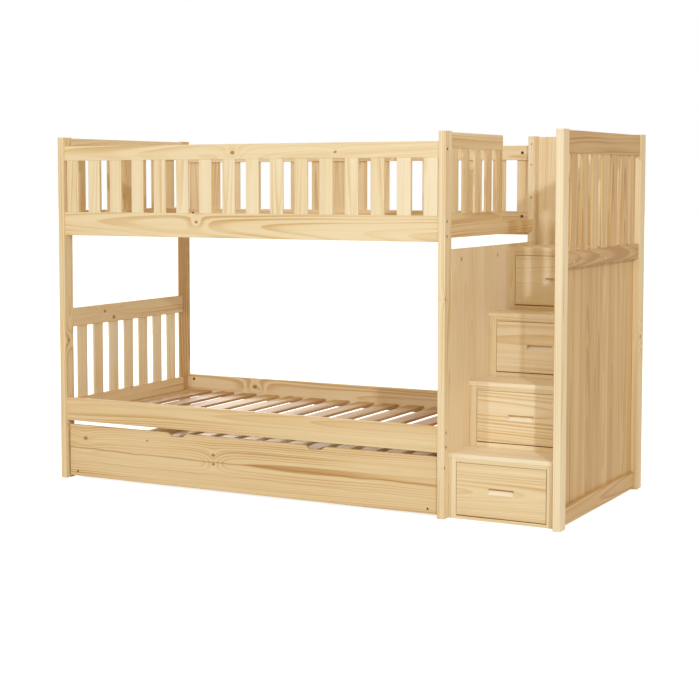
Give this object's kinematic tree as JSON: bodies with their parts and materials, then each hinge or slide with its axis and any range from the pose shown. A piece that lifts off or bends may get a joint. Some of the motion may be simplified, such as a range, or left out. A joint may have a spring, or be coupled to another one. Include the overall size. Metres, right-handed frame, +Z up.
{
  "type": "bunk bed with storage stairs",
  "caption": "Pine bunk bed with slatted guards, box stairs at one end with a drawer in each step, and a pull-out trundle on wheels under the lower bunk.",
  "frame": {"origin": "on the floor under the middle of the bed's outline", "axes": "+X from the head end to the stairs, -Y out of the front, +Z up"},
  "size_m": [2.518, 1.097, 1.63],
  "materials": {
    "pine": "satin clear lacquer",
    "plug_wood": "sanded flush",
    "bolt_steel": "zinc plated, dulled",
    "wheel_plastic": "moulded"
  },
  "bodies": {
    "bed_frame": {"deck_cleats": "pine", "entry_guard_slats": "pine", "entry_guard_top_rail": "pine", "entry_rail": "pine", "frame_bolts": "bolt_steel", "front_guard_slats": "pine", "front_guard_top_rail": "pine", "front_lower_side_rail": "pine", "front_upper_side_rail": "pine", "left_lower_bottom_rail": "pine", "left_lower_slats": "pine", "left_lower_top_rail": "pine", "left_upper_bottom_rail": "pine", "left_upper_slats": "pine", "left_upper_top_rail": "pine", "lower_deck_slats": "pine", "middle_panel": "pine", "post_front_left": "pine", "post_front_middle": "pine", "post_front_right": "pine", "post_rear_left": "pine", "post_rear_middle": "pine", "post_rear_right": "pine", "rear_guard_slats": "pine", "rear_guard_top_rail": "pine", "rear_lower_side_rail": "pine", "rear_upper_side_rail": "pine", "right_end_bottom_rail": "pine", "right_end_middle_rail": "pine", "right_end_panel": "pine", "right_end_slats": "pine", "right_end_top_rail": "pine", "screw_plugs": "plug_wood", "stair_back_wall": "pine", "stair_battens": "pine", "stair_face_frames": "pine", "stair_side_left": "pine", "stair_side_right": "pine", "stair_tread_1": "pine", "stair_tread_2": "pine", "stair_tread_3": "pine", "stair_tread_4": "pine", "upper_deck_slats": "pine"},
    "drawer_1": {"drawer_front_1": "pine", "drawer_box_1": "pine"},
    "drawer_2": {"drawer_front_2": "pine", "drawer_box_2": "pine"},
    "drawer_3": {"drawer_front_3": "pine", "drawer_box_3": "pine"},
    "drawer_4": {"drawer_front_4": "pine", "drawer_box_4": "pine"},
    "trundle": {"trundle_front": "pine", "trundle_frame": "pine", "trundle_slats": "pine", "caster_mounts": "bolt_steel", "trundle_screws": "bolt_steel"},
    "wheel_front_left": {"trundle_wheel_front_left": "wheel_plastic"},
    "wheel_front_right": {"trundle_wheel_front_right": "wheel_plastic"},
    "wheel_rear_left": {"trundle_wheel_rear_left": "wheel_plastic"},
    "wheel_rear_right": {"trundle_wheel_rear_right": "wheel_plastic"}
  },
  "joints": [
    {"name": "drawer_1_slide", "type": "slide", "parent": "bed_frame", "child": "drawer_1", "axis": [0, -1, 0], "range_m": [0, 0.28]},
    {"name": "drawer_2_slide", "type": "slide", "parent": "bed_frame", "child": "drawer_2", "axis": [0, -1, 0], "range_m": [0, 0.28]},
    {"name": "drawer_3_slide", "type": "slide", "parent": "bed_frame", "child": "drawer_3", "axis": [0, -1, 0], "range_m": [0, 0.28]},
    {"name": "drawer_4_slide", "type": "slide", "parent": "bed_frame", "child": "drawer_4", "axis": [0, -1, 0], "range_m": [0, 0.28]},
    {"name": "trundle_slide", "type": "slide", "parent": "bed_frame", "child": "trundle", "axis": [0, -1, 0], "range_m": [0, 0.95]},
    {"name": "wheel_front_left_spin", "type": "hinge", "parent": "trundle", "child": "wheel_front_left", "pos_m": [-1.1935, -0.4355, 0.025], "axis": [1, 0, 0], "continuous": true},
    {"name": "wheel_front_right_spin", "type": "hinge", "parent": "trundle", "child": "wheel_front_right", "pos_m": [0.6815, -0.4355, 0.025], "axis": [1, 0, 0], "continuous": true},
    {"name": "wheel_rear_left_spin", "type": "hinge", "parent": "trundle", "child": "wheel_rear_left", "pos_m": [-1.1935, 0.4135, 0.025], "axis": [1, 0, 0], "continuous": true},
    {"name": "wheel_rear_right_spin", "type": "hinge", "parent": "trundle", "child": "wheel_rear_right", "pos_m": [0.6815, 0.4135, 0.025], "axis": [1, 0, 0], "continuous": true}
  ],
  "couplings": [
    {"joint": "wheel_front_left_spin", "follows": "trundle_slide", "rad_per_m": 40},
    {"joint": "wheel_front_right_spin", "follows": "trundle_slide", "rad_per_m": 40},
    {"joint": "wheel_rear_left_spin", "follows": "trundle_slide", "rad_per_m": 40},
    {"joint": "wheel_rear_right_spin", "follows": "trundle_slide", "rad_per_m": 40}
  ]
}
